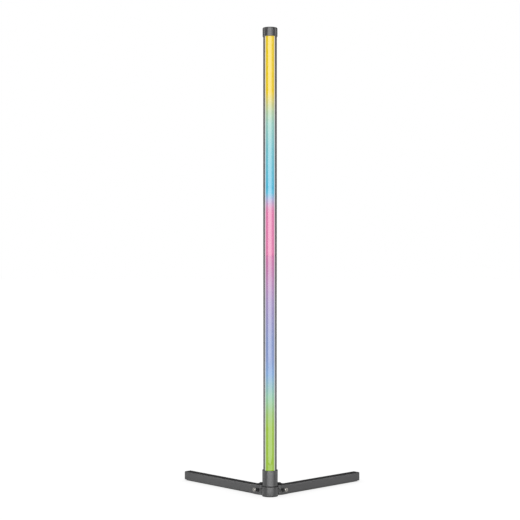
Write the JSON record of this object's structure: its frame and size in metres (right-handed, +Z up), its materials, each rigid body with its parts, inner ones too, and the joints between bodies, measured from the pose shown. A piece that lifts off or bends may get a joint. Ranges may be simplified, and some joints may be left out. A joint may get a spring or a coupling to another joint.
{
  "type": "corner floor lamp",
  "caption": "Slim upright corner lamp: a round pole with a glowing colour-run diffuser down its front, on a small hub with folding square legs.",
  "frame": {"origin": "centre of the hub's foot pad on the floor, on the pole's axis", "axes": "+Z up the pole; the diffuser faces -Y; the legs run back towards +X+Y and -X+Y"},
  "size_m": [0.4144, 0.225, 1.038],
  "materials": {
    "grey_casting": "satin dark grey paint on die-cast aluminium",
    "grey_tube": "satin dark grey powder coat on square steel tube",
    "grey_profile": "dark grey anodised extrusion",
    "grey_plastic": "satin, coloured like the tube",
    "milky_diffuser": "opal, lit from behind in a run of colours",
    "black_steel": "black oxide",
    "zinc_steel": "zinc plated",
    "nickel_screw": "satin nickel",
    "raw_aluminium": "as cut",
    "nylon": "natural nylon",
    "black_rubber": "matt",
    "strip_board": "white solder mask",
    "led_package": "white package with clear fill",
    "green_board": "green solder mask",
    "black_plastic": "moulded",
    "white_plastic": "moulded",
    "lead_sheath": "white sleeve"
  },
  "bodies": {
    "stand": {"lower_profile": "grey_profile", "lower_diffuser": "milky_diffuser", "lower_led_strip": "strip_board", "lower_leds": "led_package", "upper_profile": "grey_profile", "upper_diffuser": "milky_diffuser", "upper_led_strip": "strip_board", "upper_leds": "led_package", "joint_spigot": "raw_aluminium", "joint_screws": "black_steel", "strip_link_socket": "white_plastic", "strip_link_plug": "white_plastic", "top_cap": "grey_casting", "cap_screws": "black_steel", "pole_socket": "grey_casting", "socket_screws": "zinc_steel", "hub_ring": "grey_casting", "hub_bottom_plate": "zinc_steel", "hub_plate_screws": "black_steel", "hub_foot_pad": "black_rubber", "board_spacers": "nylon", "controller_board": "green_board", "controller_parts": "black_plastic", "dc_jack": "black_plastic", "pole_lead": "lead_sheath", "pole_washer": "zinc_steel", "pole_bolt": "zinc_steel"},
    "left_leg": {"left_knuckle": "grey_casting", "left_hinge_bolt": "black_steel", "left_hinge_nut": "zinc_steel", "left_hinge_washers": "nylon", "left_leg_screw": "nickel_screw", "left_leg_tube": "grey_tube", "left_leg_bar": "raw_aluminium", "left_bar_screw": "black_steel", "left_leg_end_cap": "grey_plastic", "left_leg_foot_pad": "black_rubber"},
    "right_leg": {"right_knuckle": "grey_casting", "right_hinge_bolt": "black_steel", "right_hinge_nut": "zinc_steel", "right_hinge_washers": "nylon", "right_leg_screw": "nickel_screw", "right_leg_tube": "grey_tube", "right_leg_bar": "raw_aluminium", "right_bar_screw": "black_steel", "right_leg_end_cap": "grey_plastic", "right_leg_foot_pad": "black_rubber"}
  },
  "joints": [
    {"name": "left_leg_fold", "type": "hinge", "parent": "stand", "child": "left_leg", "pos_m": [-0.01987, 0.01987, 0.0106], "axis": [0, 0, -1], "range_deg": [0, 45]},
    {"name": "right_leg_fold", "type": "hinge", "parent": "stand", "child": "right_leg", "pos_m": [0.01987, 0.01987, 0.0106], "axis": [0, 0, 1], "range_deg": [0, 45]}
  ]
}
